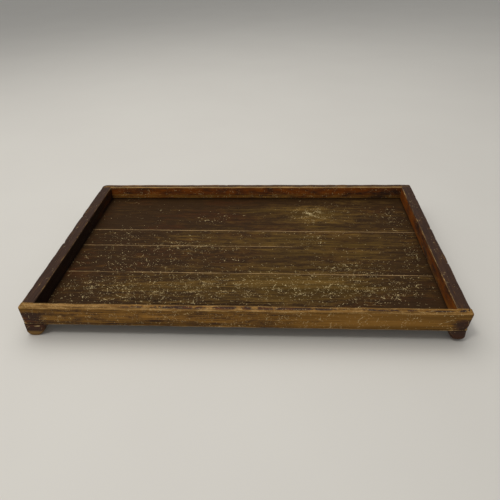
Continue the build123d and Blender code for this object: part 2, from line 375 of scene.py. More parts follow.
# Size of each pattern along and across the grain, and its detail and roughness
PATTERNS = {
    "blots": ((22 * MM, 7 * MM, 1.0), 4.0, 0.6),
    "speckle": ((3.5 * MM, 1.6 * MM, 1.0), 3.0, 0.7),
    "clouds": ((90 * MM, 30 * MM, 1.0), 2.0, 0.55),
    "clusters": ((15 * MM, 10 * MM, 1.0), 4.0, 0.6),
    "grit": ((1.5 * MM, 1.1 * MM, 1.0), 5.0, 0.75),
}
# How far each pattern pushes a fact, and the two values that it is then cut between
RAGGED = {
    "Rubbed": ({"streaks": 0.45, "blots": 1.1, "speckle": 0.7}, 0.25, 0.8),
    "Red": ({"clouds": 0.9, "blots": 1.1}, 0.3, 0.8),
    "Raw": ({"blots": 0.6}, 0.4, 0.6),
    "Arris": ({"speckle": 0.7, "blots": 0.8}, 0.5, 0.85),
    "Dirt": ({"blots": 0.5}, 0.1, 0.9),
    "Crack": ({"speckle": 0.5}, 0.4, 0.7),
}
# Shift of the cells and their size, length and width of a stroke in cells, and share of cells that have one
CHIP_KINDS = (
    ((0.0, 0.0, 0.0), 15 * MM, 0.42, 0.026, 0.8),
    ((0.313, 0.177, 0.0), 6 * MM, 0.38, 0.065, 0.85),
    ((0.171, 0.419, 0.0), 3.8 * MM, 0.24, 0.13, 0.9),
    ((0.313, 0.177, 0.0), 2.6 / 1.37 * MM, 0.22, 0.2, 0.7),
)
WOBBLE_SIZE, WOBBLE_REACH = 5 * MM, 4 * MM
CLUSTER_CUT, OUT_OF_CLUSTERS, IN_CLUSTERS = (0.42, 0.68), 0.15, 1.7
SPECKLE_CUT, FAINTEST_CHIP = (0.3, 0.6), 0.15
FLECK_CUT, FLECKS_WITH_CHIPS, FLECK_STRENGTH = (0.7, 0.76), 0.16, 0.85
LACQUER_ROUGHNESS, RUBBED_ROUGHER, ROUGHNESS_PUSH, BARE_ROUGHNESS = 0.42, 0.1, 0.25, 0.75

# %% Group: worn lacquer
worn, given, result = new_group(
    "worn lacquer",
    [("Vector", VECTOR, None)]
    + [(fact.capitalize(), VALUE, None) for fact in FACTS]
    + [(colour_name, COLOUR, None) for colour_name in COATS],
    [("Colour", COLOUR), ("Roughness", VALUE), ("Height", VALUE)],
)
vector = given["Vector"]
pattern = {name: worn.noise(vector, *values) for name, values in PATTERNS.items()}
pattern["streaks"], pattern["bands"] = place_group(worn, WOOD_FIBRE, {"Vector": vector})


def ragged(fact):
    """A fact with ragged edges: pushed up and down by patterns, and then cut off."""
    pushes, low, high = RAGGED[fact]
    pushed = given[fact]
    for name, push in pushes.items():
        pushed = worn.sum(pushed, worn.around(pattern[name], push))
    return worn.smooth(pushed, low, high)


def toned(colour, start, **shares):
    """A colour made lighter and darker by a start plus a share of each pattern."""
    parts = [(pattern[name], share) for name, share in shares.items()]
    return worn.tint(colour, worn.weighted(start, *parts))


wobble = worn.add("TexNoise", {"Vector": vector, "Scale": 1 / WOBBLE_SIZE, "Detail": 2.0}, output=1)
wobble = worn.tint(worn.vectors("SUBTRACT", wobble, (0.5, 0.5, 0.5)), WOBBLE_REACH)
crooked = worn.vectors("ADD", vector, wobble)
clusters = worn.smooth(pattern["clusters"], *CLUSTER_CUT)
amount = worn.product(given["Chips"], worn.weighted(OUT_OF_CLUSTERS, (clusters, IN_CLUSTERS)))
chipped = 0.0
for shift, cell, length, width, share in CHIP_KINDS:
    stroke = {"Vector": worn.vectors("ADD", crooked, shift), "Cell": cell, "Length": length, "Width": width}
    stroke["Amount"] = worn.product(amount, share)
    chipped = worn.larger(chipped, place_group(worn, STROKES, stroke)["Mask"])
chipped = worn.product(chipped, worn.sum(worn.smooth(pattern["speckle"], *SPECKLE_CUT), FAINTEST_CHIP))
flecks = worn.smooth(worn.weighted(pattern["grit"], (amount, FLECKS_WITH_CHIPS)), *FLECK_CUT)
chipped = worn.larger(chipped, worn.product(flecks, FLECK_STRENGTH))

rubbed = ragged("Rubbed")
# Dirt and painted shade, and cracks, all take the darkest colour
dark = worn.larger(worn.product(ragged("Dirt"), 0.85), ragged("Crack"))
skin = worn.mix(ragged("Red"), given["Lacquer colour"], given["Red colour"])
colour = toned(skin, 0.35, blots=0.8, streaks=0.5)
for where, share, layer in (
    (rubbed, 1.0, toned(given["Rubbed colour"], 0.2, bands=0.9, streaks=0.7)),
    (ragged("Raw"), 0.85, toned(RAW_WOOD, 0.35, bands=0.7, streaks=0.5)),
    (ragged("Arris"), 0.85, toned(given["Edge colour"], 0.35, blots=0.7, streaks=0.5)),
    (chipped, 0.9, toned(given["Bare colour"], 0.4, blots=0.9, streaks=0.4)),
    (dark, 1.0, DIRT_SHADE_AND_CRACK_COLOUR),
):
    colour = worn.mix(worn.product(where, share), colour, layer)
worn.feed(colour, result["Colour"])
roughness = worn.weighted(LACQUER_ROUGHNESS, (rubbed, RUBBED_ROUGHER))
roughness = worn.sum(roughness, worn.around(pattern["blots"], ROUGHNESS_PUSH))
bare_roughness = worn.product(worn.larger(chipped, dark), BARE_ROUGHNESS)
worn.feed(worn.larger(roughness, bare_roughness), result["Roughness"])
coat_left = worn.weighted(worn.product(worn.rest(rubbed), 0.25), (worn.rest(chipped), 0.5))
height = worn.weighted(coat_left, (pattern["streaks"], 0.35), (pattern["speckle"], 0.2))
worn.feed(height, result["Height"])
WORN_LACQUER = worn.tree

# %% Make the lacquered materials
LACQUER_RELIEF = 0.35 * MM


def lacquered(name, gloss, *colours):
    """A material of worn lacquer of this gloss, in these colours, one for each of the coats."""
    material, steps, shader = new_material(name)
    inputs = {"Vector": steps.fact("grain", output=1)}
    inputs |= {fact.capitalize(): steps.fact(fact) for fact in FACTS}
    inputs |= {colour_name: (*colour, 1) for colour_name, colour in zip(COATS, colours)}
    colour, roughness, height = place_group(steps, WORN_LACQUER, inputs)
    coat(steps, shader, colour, roughness, height, LACQUER_RELIEF, 0.9)
    shader.inputs["Specular IOR Level"].default_value = gloss
    return material


RAIL_LACQUER = lacquered(
    "rail lacquer", 0.05,
    (0.044, 0.023, 0.015), (0.185, 0.049, 0.007), (0.165, 0.080, 0.0165),
    (0.40, 0.24, 0.085), (0.52, 0.39, 0.19),
)
PLANK_LACQUER = lacquered(
    "plank lacquer", 0.02,
    (0.036, 0.0185, 0.0078), (0.048, 0.018, 0.007), (0.098, 0.056, 0.0135),
    (0.33, 0.215, 0.10), (0.62, 0.49, 0.25),
)
FOOT_LACQUER = lacquered(
    "foot lacquer", 0.05,
    (0.05, 0.026, 0.018), (0.06, 0.018, 0.007), (0.15, 0.085, 0.028),
    (0.30, 0.18, 0.06), (0.33, 0.23, 0.11),
)

# %% [markdown]
# ## The rails
#
# A rail is a flat board on edge. Its section goes up the outer face, over a rounded arris, across the top,
# over the inner arris, down to the planks, round the rebate that holds them and back along the underside.
# A front or back rail runs the full length and turns the corners; an end rail fits between them.
#
# The section isn't carried along one path but between two. The outer path follows the tray's outline, and
# the inner path the edge of the well. At the corners the outline is an arc of radius R round a centre that
# stands R inside both faces, so a point at angle t is centre + R * (cos t, sin t). The radius grows from
# the top of the rail to its underside, because the lower corners are what gets knocked.

# %% The rail's section
RAILS = ("front_rail", "back_rail", "left_rail", "right_rail")
ARRIS = 1.7 * MM
LOWER_ARRIS_SHARE = 0.6
# How much the radius of an arris varies, and over how many stations
OUTER_VARIES, INNER_VARIES, VARIES_OVER = 0.35, 0.3, 8
ARRIS_POINTS, FACE_POINTS, TOP_POINTS, WELL_POINTS = 6, 14, 9, 12
# Radius of the tray's corners at the base and at the top of each long rail, left corner and then right
CORNER_RADII = {
    "front_rail": np.array([[4.2, 3.0], [4.2, 3.0]]) * MM,
    "back_rail": np.array([[8.0, 7.5], [4.8, 3.5]]) * MM,
}
# How far each rail's top stands out at the left and at the right end of the tray
PROUD_ENDS = dict(zip(RAILS, np.array([[0.9, 2.0], [0.9, 0.7], [0.9, 0.9], [0.7, 0.7]]) * MM))
COLUMNS = ("path", "level", "inset", "drop", "rebate", "outward", "upward", "wellward")


def stretch_of(count, **columns):
    """Some points of the section, one row each, with what isn't given left at zero."""
    return np.stack([np.broadcast_to(columns.get(name, 0.0), count) for name in COLUMNS], axis=1)


# Each point hangs on the outer path (0), the inner one (1) or between them, at a level. Insets and drops
# are in radii of the arris, and the last three columns say which way the point moves when the wood swells.
quarter = np.linspace(0, math.pi / 2, ARRIS_POINTS)
sine, cosine = np.sin(quarter), np.cos(quarter)
face_levels = np.linspace(BASE + 2 * ARRIS, TOP - 2 * ARRIS, FACE_POINTS)
well_levels = np.linspace(TOP - 2 * ARRIS, FLOOR, WELL_POINTS)
SECTION = [
    stretch_of(ARRIS_POINTS, level=BASE, inset=(1 - sine) * LOWER_ARRIS_SHARE,
               drop=(cosine - 1) * LOWER_ARRIS_SHARE, outward=sine, upward=-cosine),
    stretch_of(FACE_POINTS, level=face_levels, outward=1.0),
    stretch_of(ARRIS_POINTS, level=TOP, inset=1 - cosine, drop=1 - sine, outward=cosine, upward=sine),
    stretch_of(TOP_POINTS, path=np.linspace(0, 1, TOP_POINTS + 2)[1:-1], level=TOP, inset=1.0, upward=1.0),
    stretch_of(ARRIS_POINTS, path=1.0, level=TOP, inset=1 - sine, drop=1 - cosine,
               upward=cosine, wellward=sine),
    stretch_of(WELL_POINTS, path=1.0, level=well_levels, wellward=1.0),
    stretch_of(2, path=1.0, level=(FLOOR, BASE), rebate=1.0),
]
path, level, inset, drop, in_rebate, outward, upward, wellward = np.concatenate(SECTION).T
print("rail section of", len(path), "points")


def radius_up(radii, share):
    """Radius of a corner at a share of the rail's height."""
    return radii[..., :1] + (radii[..., 1:] - radii[..., :1]) * share


def rail_points(corner, turn, inner, into_well, inner_arris, rebate, radii, seed):
    """Sections hung between two paths. The outer path is given by the corner of the sharp rectangle that
    each station belongs to and by the angle of its outward normal; the inner path by its points."""
    along = np.arange(len(turn))[:, None] / VARIES_OVER
    outer_radius = ARRIS * (1 + OUTER_VARIES * unevenness(along, 0.0, seed))
    inner_radius = inner_arris[:, None] * (1 + INNER_VARIES * unevenness(along, 9.0, seed))
    height = level - drop * np.where(path < 0.5, outer_radius, inner_radius)
    share = (height - BASE) / (TOP - BASE)
    corner_radius = radius_up(radii[(corner[:, 0] > 0).astype(int)], share)
    left_reach = corner[:, 0].min() * share - END_X * (1 - share)
    centre_x = np.maximum(corner[:, :1], left_reach + corner_radius)
    if corner[:, 0].max() > 0:
        right_reach = corner[:, 0].max() * share + END_X * (1 - share)
        centre_x = np.minimum(centre_x, right_reach - corner_radius)
    centre_y = np.clip(corner[:, 1:], corner_radius - FACE_Y, FACE_Y - corner_radius)
    reach = corner_radius - inset * outer_radius
    normal_x, normal_y = np.cos(turn)[:, None], np.sin(turn)[:, None]
    set_back = inset * inner_radius + in_rebate * rebate[:, None]
    x = (centre_x + reach * normal_x) * (1 - path) + (inner[:, :1] - into_well[0] * set_back) * path
    y = (centre_y + reach * normal_y) * (1 - path) + (inner[:, 1:] - into_well[1] * set_back) * path
    way_x = outward * normal_x + wellward * into_well[0]
    way_y = outward * normal_y + wellward * into_well[1]
    return np.stack([x, y, height], axis=-1), np.stack([way_x, way_y, upward + 0 * way_x], axis=-1)


# %% [markdown]
# ## Swelling, knocks and nicks
#
# Planed by hand and handled for decades, a rail's faces ripple by a tenth of a millimetre or two, and light
# picks that up. A knock at a lower corner presses the wood in over a centimetre or so: the depth falls away
# as exp(-(distance / reach) squared). A nick is the same on a small scale, on an arris only.

# %% Unevenness of the rails
# Depth, size along and size round the rail
RIPPLE = (0.09 * MM, 7 * MM, 4 * MM)
SWELL = (0.22 * MM, 60 * MM, 25 * MM)
NICK_HEIGHT = 2.5 * MM
# Depth of the knock at the front and at the back corner, on the left and then on the right
KNOCK_DEPTHS = np.array([[0.15, 0.4], [1.7, 0.5]]) * MM
KNOCK_REACH = 13 * MM


def knock_at(x, y, z):
    """How far the nearest knock presses the wood in: deepest at a lower corner of the tray."""
    to_corner = np.hypot(np.abs(x) - END_X, np.abs(y) - FACE_Y)
    low = 1 - np.clip((z - BASE) / (TOP - BASE), 0, 1)
    deepest = KNOCK_DEPTHS[(x > 0).astype(int), (y > 0).astype(int)]
    return deepest * bell(to_corner, 0, KNOCK_REACH) * low**1.5


def weathered(points, ways, run, seed, nicks, mirror):
    """The points moved along their ways by ripple, swell, knocks at the lower corners and the nicks."""
    girth = np.linalg.norm(np.diff(points[len(points) // 2], axis=0), axis=-1)
    girth = np.concatenate([[0.0], np.cumsum(girth)])
    move = 0.0
    for number, (depth, along, around) in enumerate((RIPPLE, SWELL), start=1):
        move = move + depth * unevenness(run / along, girth / around, seed + number)
    move = move - knock_at(points[..., 0] * mirror[0], points[..., 1] * mirror[1], points[..., 2]) * outward
    on_outer_arris = bell(points[..., 2], TOP, NICK_HEIGHT) * (path < 0.2)
    for place, width, depth in nicks:
        move = move - depth * bell(run, place, width) * on_outer_arris
    return points + ways * move[..., None]


# %% [markdown]
# ## Where the rails are worn
#
# Hands lift the tray by its ends and rest on the front, sleeves and cloths rub the arrises, and nobody
# touches the corners by the feet. So the front rail is rubbed to golden wood nearly everywhere, keeps dark
# lacquer at both ends and in a broken lane along its top, while the end rails stay dark on top and the well
# sides keep their red undercoat. One table says how far that has gone on each rail, and also how much
# painted shade darkens the left rail's well wall.

# %% Wear of a rail
# How far each kind of wear, and the painted shade on the left rail's well wall, has gone on the front, back,
# left and right rail
RAIL_WEAR = {
    "face": (0.6, 0.62, 0.58, 0.55),
    "top": (0.8, 0.42, 0.1, 0.12),
    "shine on top": (0.62, 0, 0, 0),
    "dark lane": (0.95, 0.2, 0, 0),
    "dark ends": (1.0, 1.0, 0.2, 0.2),
    "right half": (0.42, 0, 0, 0),
    "well": (0.25, 0.12, 0.05, 0.2),
    "low in well": (0.1, 0.4, 0, 0.1),
    # Painted shade: the left rail's well wall is darkened, where the lamp from the left leaves it in shade
    "dirt in well": (0, 0, 0.7, 0),
    "outer arris": (0.9, 0.25, 0.1, 0.12),
    "inner arris": (0.85, 1.25, 0.8, 0.86),
    "lower arris": (0.95, 0.6, 0.55, 0.55),
    "red": (0.3, 0.6, 0.35, 0.64),
    "chips": (0.32, 0.25, 0.03, 0.06),
    "bare spots": (1, 0, 0, 0),
}
# X, height over the base, reach and strength of the bare spots of the front rail
BARE_SPOTS = (
    (-0.228, 14 * MM, 4 * MM, 0.9),
    (-0.277, 1.5 * MM, 2.5 * MM, 1.3),
    (0.277, 1.5 * MM, 2.5 * MM, 1.3),
)
ARRIS_FADE = 1.5 * MM
# How far from the end, and how high over the base, the dark ends fade out
DARK_END_FADE, DARK_END_HEIGHT = (8 * MM, 34 * MM), (15 * MM, 21 * MM)
LANE_REACH, LANE_START = 2.2 * MM, (-0.18, -0.08)
RIGHT_HALF = (0.02, 0.18)
LOW_IN_WELL = (FLOOR + 5 * MM, FLOOR + 13 * MM)
SECTION_PITCH = 1.6 * MM
UNDERSIDE = (in_rebate > 0) | (np.arange(len(path)) < 2)


def rail_facts(points, run, thickness, node, seed):
    """The facts that the worn lacquer reads, at every point of a rail."""
    wear = {kind: amounts[RAILS.index(node)] for kind, amounts in RAIL_WEAR.items()}
    across = np.where(path < 0.5, inset * ARRIS, thickness - inset * ARRIS)
    across = np.where((path > 0) & (path < 1), ARRIS + (thickness - 2 * ARRIS) * path, across)
    height = points[..., 2]
    above_base = height - BASE
    on_top = step(height, TOP - 1.1 * ARRIS, TOP - 0.4 * ARRIS)
    on_face = (1 - on_top) * (path < 0.5)
    in_well = (1 - on_top) * (path >= 0.5)
    arris = 0.0
    for kind, to_side, to_level in (
        ("outer arris", across, TOP - height),
        ("inner arris", thickness - across, TOP - height),
        ("lower arris", across, above_base),
    ):
        arris = np.maximum(arris, 1.25 * wear[kind] * np.exp(-np.hypot(to_side, to_level) / ARRIS_FADE))
    dark_end = wear["dark ends"] * (1 - step(END_X - np.abs(points[..., 0]), *DARK_END_FADE))
    dark_end = dark_end * (1 - step(above_base, *DARK_END_HEIGHT))
    breaks = unevenness(run / (9 * MM), 3.5, seed) + 0.6 * unevenness(run / (2.5 * MM), across / MM, 8)
    lane = wear["dark lane"] * bell(across, thickness / 2, LANE_REACH) * step(run, *LANE_START)
    lane = lane * step(breaks, -0.55, 0.15) * 1.3
    arris = np.maximum(arris, on_top * (wear["shine on top"] - lane))
    for spot_run, spot_height, reach, strength in BARE_SPOTS:
        spot = strength * bell(run, spot_run, reach) * bell(above_base, spot_height, reach) * (path < 0.5)
        arris = np.maximum(arris, spot * wear["bare spots"])
    to_right = wear["right half"] * step(run, *RIGHT_HALF)
    rubbed = on_face * (wear["face"] + to_right) * (1 - 0.85 * dark_end)
    rubbed = rubbed + on_top * (wear["top"] + to_right - lane)
    rubbed = rubbed + in_well * (wear["well"] + wear["low in well"] * (1 - step(height, *LOW_IN_WELL)))
    return facts_at(
        run, np.cumsum(np.full(path.shape, SECTION_PITCH)), seed / 10,
        rubbed=rubbed,
        arris=arris,
        chips=wear["chips"] * (1 + 0.6 * unevenness(run / (60 * MM), 0.5, seed + 5)),
        # Darker along the foot of the well walls, painted shade over the left rail's well wall, and dirt in
        # the dark lane on top
        dirt=in_well * (0.9 * bell(height, FLOOR, 1.6 * MM) + wear["dirt in well"]) + on_top * lane * 0.3,
        red=wear["red"] * (in_well + (0.6 + 0.5 * dark_end) * on_face + on_top * lane),
        raw=0.8 * ((height < BASE + 0.5 * MM) & UNDERSIDE),
    )


# %% The stations of a long rail and of an end rail
FRONT_STATIONS, END_STATIONS, ARC_STATIONS = 400, 240, 12
# How far the last station on an end grain face stands behind the rounded corner
BEHIND_ARC = 0.4 * MM


def long_rail_paths(proud, radii):
    """Corner, normal angle and inner path of the front rail, from its left end to its right end."""
    left_base, right_base = radii[:, 0]
    arc = np.linspace(0, math.pi / 2, ARC_STATIONS)
    straight = np.linspace(left_base - END_X, END_X - right_base, FRONT_STATIONS)[1:-1]
    at_end = np.ones(2 + ARC_STATIONS)
    corner_x = np.concatenate([at_end * (-END_X - proud[0]), straight, at_end * (END_X + proud[1])])
    corner_y = np.full(len(corner_x), -FACE_Y)
    corner_y[[0, -1]] = -WELL_Y
    corner_y[[1, -2]] += radii[:, 0] + BEHIND_ARC
    along_face = np.full(len(straight), 1.5 * math.pi)
    turn = np.concatenate([[math.pi] * 2, math.pi + arc, along_face, 1.5 * math.pi + arc, [FULL_TURN] * 2])
    inner_x = np.linspace(-1, 1, len(turn)) * (END_X - 2 * ARRIS)
    inner = np.stack([inner_x, np.full(len(turn), -WELL_Y)], axis=-1)
    return np.stack([corner_x, corner_y], axis=-1), turn, inner


def end_rail_paths(proud):
    """Corner, normal angle and inner path of the left rail, from its front end to its back end."""
    y = np.linspace(-WELL_Y, WELL_Y, END_STATIONS)
    corner = np.stack([np.full(len(y), -END_X - proud[0]), y], axis=-1)
    inner = np.stack([np.full(len(y), -WELL_X), y], axis=-1)
    return corner, np.full(len(y), math.pi), inner


# %% [markdown]
# ## Dovetails
#
# The end rails hold on to the long ones with two dovetails at each corner, lapped, so that they show only
# from the side. Each tail is a short section that widens towards its tip, where it stops short of the
# front of the tray. Its outer face follows the rounded corner and stands a hair proud of it, as the wood
# round it shrank, and dirt in the joint draws its outline.

# %% The tails of an end rail
TAIL_ROOT_HALF, TAIL_TIP_HALF = 2.6 * MM, 3.7 * MM
TAIL_LAP = 3.5 * MM
TAIL_PROUD = 0.12 * MM
TAIL_INTO_RAIL, TAIL_INSIDE = 2 * MM, 3 * MM
TAIL_STATIONS = 9
TAIL_SHARES = np.array([-1, -0.86, -0.7, -0.3, 0.3, 0.7, 0.86, 1])


def tail_shells(side):
    """The four tails of one end rail: two heights at the front end and at the back end."""
    shells = []
    which = 0 if side > 0 else 1
    for end, long_node in ((-1, "front_rail"), (1, "back_rail")):
        for number in range(2):
            middle = FLOOR + (TOP - FLOOR) * (number + 0.5) / 2
            up = (middle - BASE) / (TOP - BASE)
            end_x = END_X + PROUD_ENDS[long_node][which] * up
            tip = FACE_Y - TAIL_LAP
            y = np.linspace(WELL_Y - TAIL_INTO_RAIL, tip, TAIL_STATIONS)[:, None]
            share = np.clip((y - WELL_Y) / (tip - WELL_Y), 0, 1)
            half = TAIL_ROOT_HALF + (TAIL_TIP_HALF - TAIL_ROOT_HALF) * share
            radius = radius_up(CORNER_RADII[long_node][which], up)
            into_arc = np.maximum(radius - (FACE_Y - y), 0)
            face_x = end_x - radius + np.sqrt(radius**2 - into_arc**2) + TAIL_PROUD
            face_x = face_x - knock_at(-side * face_x, end * y, middle + half * TAIL_SHARES)
            z = middle + half * np.append(TAIL_SHARES, TAIL_SHARES[[-1, 0]])
            x = np.concatenate([face_x, np.full((TAIL_STATIONS, 2), WELL_X + TAIL_INSIDE)], axis=1)
            points = np.stack([-side * x, end * (y + 0 * x), z], axis=-1)
            outline = (np.abs(np.append(TAIL_SHARES, [1, 1])) > 0.9) | (share > 0.95)
            known = {"rubbed": 0.3, "chips": 0.05, "crack": outline, "dirt": 0.15, "red": 0.3}
            shells.append((points, facts_at(points[..., 1], z, 3.0 + side, **known)))
    return shells


# %% Make the rails
MIRRORS = {"back_rail": (1, -1, 1), "right_rail": (-1, 1, 1)}
# Place along the rail, width and depth of each nick
NICKS = {
    "front_rail": ((0.121, 3 * MM, 0.6 * MM), (-0.203, 2 * MM, 0.5 * MM)),
    "back_rail": ((-0.05, 3 * MM, 0.5 * MM),),
    "left_rail": ((-0.022, 3 * MM, 1.4 * MM), (0.06, 2 * MM, 0.7 * MM)),
    "right_rail": ((0.026, 3.5 * MM, 1.6 * MM), (-0.07, 2 * MM, 0.8 * MM), (-0.004, 9 * MM, 0.6 * MM)),
}


def make_rail(node, seed):
    """One rail, worked out as the front or the left one, and mirrored for the other side of the tray."""
    is_long = node in CORNER_RADII
    radii = CORNER_RADII.get(node, CORNER_RADII["front_rail"])
    if is_long:
        corner, turn, inner = long_rail_paths(PROUD_ENDS[node], radii)
        lengthwise, into_well, thickness = 0, (0.0, 1.0), FACE_Y - WELL_Y
        in_reach = np.abs(inner[:, 0])
        inner_arris = np.where(in_reach < WELL_X, ARRIS, 0.0)
        rebate = np.where(in_reach < BED_X, BED_Y - WELL_Y, 0.0)
    else:
        corner, turn, inner = end_rail_paths(PROUD_ENDS[node])
        lengthwise, into_well, thickness = 1, (1.0, 0.0), END_X - WELL_X
        inner_arris = np.full(len(turn), ARRIS)
        rebate = np.full(len(turn), BED_X - WELL_X)
    points, ways = rail_points(corner, turn, inner, into_well, inner_arris, rebate, radii, seed)
    run = points[..., lengthwise]
    mirror = MIRRORS.get(node, (1, 1, 1))
    points = weathered(points, ways, run, seed, NICKS[node], mirror) * mirror
    shells = [(points, rail_facts(points, run, thickness, node, seed))]
    if not is_long:
        shells += tail_shells(mirror[0])
    as_piece_of_tray(closed_piece("worn_" + node, *shells), node, RAIL_LACQUER)


for rail_number, rail_node in enumerate(RAILS):
    make_rail(rail_node, seed=11 * (rail_number + 1))

# %% [markdown]
# ## The planks
#
# The bed is four boards that lie side by side. The seams between them aren't quite parallel, as the boards
# were sawn by eye, so each plank tapers: at every station its two edges are read off the seam lines. The
# section of a plank goes across its top, down one edge with its tongue, back along its underside and up the
# other edge with its groove. Light can't get through a seam, because the tongue stands in the groove.
#
# The top is a height field: a slight hollow across the board, ripples along the grain, dents where things
# were set down hard, and a worn slope at each edge.

# %% Seam lines
TONGUE = 3 * MM
TONGUE_HALF = 0.7 * MM
TONGUE_CLEARANCE = 0.1 * MM
SEAM_GAP = 0.15 * MM
PLANKS = ("front_plank", "third_plank", "second_plank", "back_plank")


def seam_between(front_node, back_node):
    """Y of a seam at the left and at the right end of the bed. It drifts towards the front."""
    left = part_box(front_node)[1].y - TONGUE + SEAM_GAP / 2
    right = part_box(back_node)[0].y - SEAM_GAP / 2
    return left, right


bed_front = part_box("front_plank")[0].y
SEAMS = [seam_between(*pair) for pair in zip(PLANKS[:-1], PLANKS[1:])]
EDGES = [(bed_front, bed_front)] + SEAMS + [(BED_Y, BED_Y)]
print("seams in mm:", [[round(y / MM, 1) for y in seam] for seam in SEAMS])

# %% [markdown]
# ## Where the planks are worn
#
# The back of the tray stays dark. The front and the middle are rubbed to an olive gold, in long patches with
# the grain, and chips are thick where cups and pots stood: near the front rail, at the left, and in one
# bright patch far back on the right. Two long drying cracks run along the front plank, just inside the rail.

# %% Wear of the bed
# Middle x and y, reach along x and along y, and strength of each patch, in metres
CHIP_PATCHES = (
    (0.105, 0.106, 0.026, 0.022, 1.25),
    (0.238, 0.095, 0.016, 0.028, 0.45),
    (-0.190, -0.108, 0.060, 0.025, 0.75),
    (-0.060, -0.105, 0.080, 0.030, 0.6),
    (0.080, -0.100, 0.070, 0.028, 0.55),
    (0.160, -0.110, 0.045, 0.022, 0.62),
    (0.212, -0.104, 0.018, 0.018, 0.7),
    (0.160, -0.056, 0.055, 0.018, 0.4),
    (0.243, -0.020, 0.010, 0.035, 0.45),
    (0.100, 0.024, 0.018, 0.015, 0.6),
    (-0.205, 0.033, 0.030, 0.018, 0.5),
    (-0.100, 0.005, 0.040, 0.012, 0.7),
    (-0.055, 0.094, 0.012, 0.012, 0.45),
    (-0.140, -0.045, 0.100, 0.025, 0.2),
)
RUBBED_PATCHES = (
    (0.000, -0.100, 0.120, 0.045, 0.42),
    (0.110, -0.100, 0.080, 0.030, 0.5),
    (-0.150, -0.105, 0.090, 0.030, 0.28),
    (0.105, 0.105, 0.050, 0.028, 0.3),
    (0.130, 0.010, 0.160, 0.080, 0.42),
    (0.060, 0.120, 0.200, 0.040, 0.22),
    (-0.090, 0.020, 0.090, 0.030, 0.25),
)
# Y, left and right end of each drying crack, in metres
CRACKS = (
    (-0.1325, -0.172, -0.078),
    (-0.1345, -0.060, 0.068),
    (-0.1395, -0.130, 0.040),
    (-0.0985, 0.020, 0.105),
)
CRACK_HALF_WIDTH, CRACK_WANDER, CRACK_TAPER = 0.55 * MM, 0.5 * MM, 15 * MM
# Strength of the front, middle and back seam's worn edges; the middle one fades on the right
SEAM_SHINE = (1.7, 1.6, 2.0)
SEAM_REACH, SEAM_FADE = 0.75 * MM, (0.04, 0.10)
# How far the darkening of the planks along the rails reaches in, and between which places the gloom on the
# left ends
DARKENING_NEAR_RAILS_REACH, GLOOM_END = 5 * MM, (0.0, 0.12)
# For each plank from front to back: chips all over, gloom on the left, and how dark its underside is
CHIPS_ALL_OVER = (0.06, 0.06, 0.06, 0.02)
GLOOM = (0, 0, 0, 0.2)
UNDER_TONES = (0.3, 0.0, 0.42, 0.16)


def patches(x, y, table):
    """Sum of soft oval patches, each exp(-(dx / reach_x)^2 - (dy / reach_y)^2) times its strength."""
    total = 0 * x * y
    for middle_x, middle_y, reach_x, reach_y, strength in table:
        total = total + strength * bell(x, middle_x, reach_x) * bell(y, middle_y, reach_y)
    return total


def cracks_at(x, y):
    """1 in a drying crack and 0 away from it. A crack wanders a little and tapers towards its ends."""
    total = 0 * x * y
    for number, (crack_y, left, right) in enumerate(CRACKS):
        wander = CRACK_WANDER * unevenness(x / (18 * MM), number, 71)
        width = CRACK_HALF_WIDTH * (0.6 + 0.4 * unevenness(x / (9 * MM), number, 72))
        open_here = step(x, left, left + CRACK_TAPER) * (1 - step(x, right - CRACK_TAPER, right))
        total = np.maximum(total, open_here * bell(y, crack_y + wander, np.maximum(width, 0.2 * MM)))
    return total


def plank_facts(x, y, z, near, far, number):
    """The facts that the worn lacquer reads, at every point of a plank."""
    on_top = z > FLOOR - 1.2 * MM
    from_edge = np.minimum(y - near, far - y)
    chips = CHIPS_ALL_OVER[number] + 0.07 * unevenness(x / (40 * MM), y / (20 * MM), 81)
    chips = chips + 0.8 * patches(x, y, CHIP_PATCHES)
    rubbed = 0.14 + 0.12 * unevenness(x / (80 * MM), y / (9 * MM), 82 + number)
    rubbed = rubbed + patches(x, y, RUBBED_PATCHES)
    shine = 0.0
    for seam, from_seam in ((number - 1, y - near), (number, far - y)):
        if 0 <= seam < len(SEAM_SHINE):
            fades = 1 - 0.7 * step(x, *SEAM_FADE) if seam == 1 else 1
            shine = np.maximum(shine, SEAM_SHINE[seam] * np.exp(-from_seam / SEAM_REACH) * fades)
    to_rail = np.minimum(WELL_X - np.abs(x), WELL_Y - np.abs(y))
    # Darker within a few millimetres of the rails, and the gloom on the left
    dirt = 0.55 * np.exp(-np.maximum(to_rail, 0) / DARKENING_NEAR_RAILS_REACH) + GLOOM[number] * (1 - step(x, *GLOOM_END))
    return facts_at(
        x, y, 5.0 + number,
        rubbed=np.where(on_top, rubbed, 0.3),
        arris=on_top * shine * (0.85 + 0.3 * unevenness(x / (30 * MM), number, 83)),
        chips=on_top * chips,
        crack=np.where(on_top, cracks_at(x, y), from_edge < 0.1 * MM),
        dirt=np.where(on_top, dirt, UNDER_TONES[number]),
        red=0.35 + 0.2 * unevenness(x / (70 * MM), y / (30 * MM), 84),
        raw=np.where(on_top, 0.0, 0.85),
    )


# %% Shape of a plank
STATIONS = 430
ACROSS_PITCH = 1.3 * MM
EDGE_OFFSETS = np.array([0.0, 0.25, 0.6, 1.1, 1.8]) * MM
EDGE_STRIP = 3 * MM
ROUND_A_CRACK = np.array([-0.6, -0.3, 0, 0.3, 0.6]) * MM
UNDER_LIFT, UNDER_EASE, UNDER_POINTS = 0.15 * MM, 0.9 * MM, 10
HOLLOW, CRACK_DEPTH = 0.25 * MM, 0.6 * MM
# Depth, size along and size across the grain
PLANK_RIPPLES = ((0.10 * MM, 45 * MM, 6 * MM), (0.05 * MM, 14 * MM, 1.7 * MM))
EDGE_WEAR, EDGE_WEAR_REACH = 0.35 * MM, 0.5 * MM
DENTS, DENT_SIZES, DENT_DEPTHS = 60, (1.2, 4.0), (0.08, 0.35)


